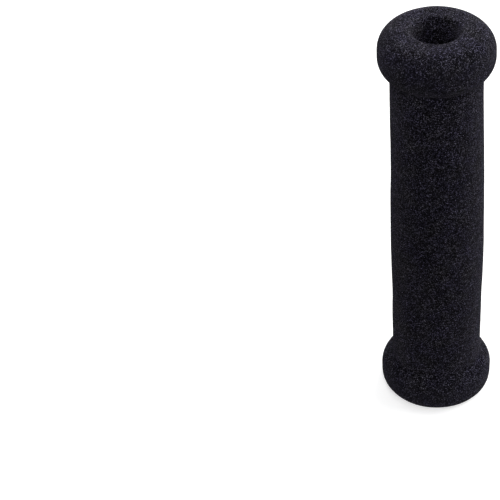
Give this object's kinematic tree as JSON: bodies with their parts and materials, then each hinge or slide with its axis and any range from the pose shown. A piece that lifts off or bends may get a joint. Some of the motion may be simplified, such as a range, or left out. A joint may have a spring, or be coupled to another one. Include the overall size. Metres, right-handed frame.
{
  "type": "handlebar grip",
  "caption": "Foam handlebar grip: a barrel-shaped tube with a rolled flange at each end, a wide bore for the bar and a smaller hole through its outer end.",
  "frame": {"origin": "centre of the inner end's face, at the grip's base, where the bar enters", "axes": "+Z along the bore axis, from the inner end to the outer end with the small hole"},
  "size_m": [0.0332, 0.0332, 0.13],
  "materials": {
    "foam": "matt black cellular foam with a fine open-celled skin"
  },
  "bodies": {
    "root": {"foam_grip": "foam"}
  },
  "joints": []
}
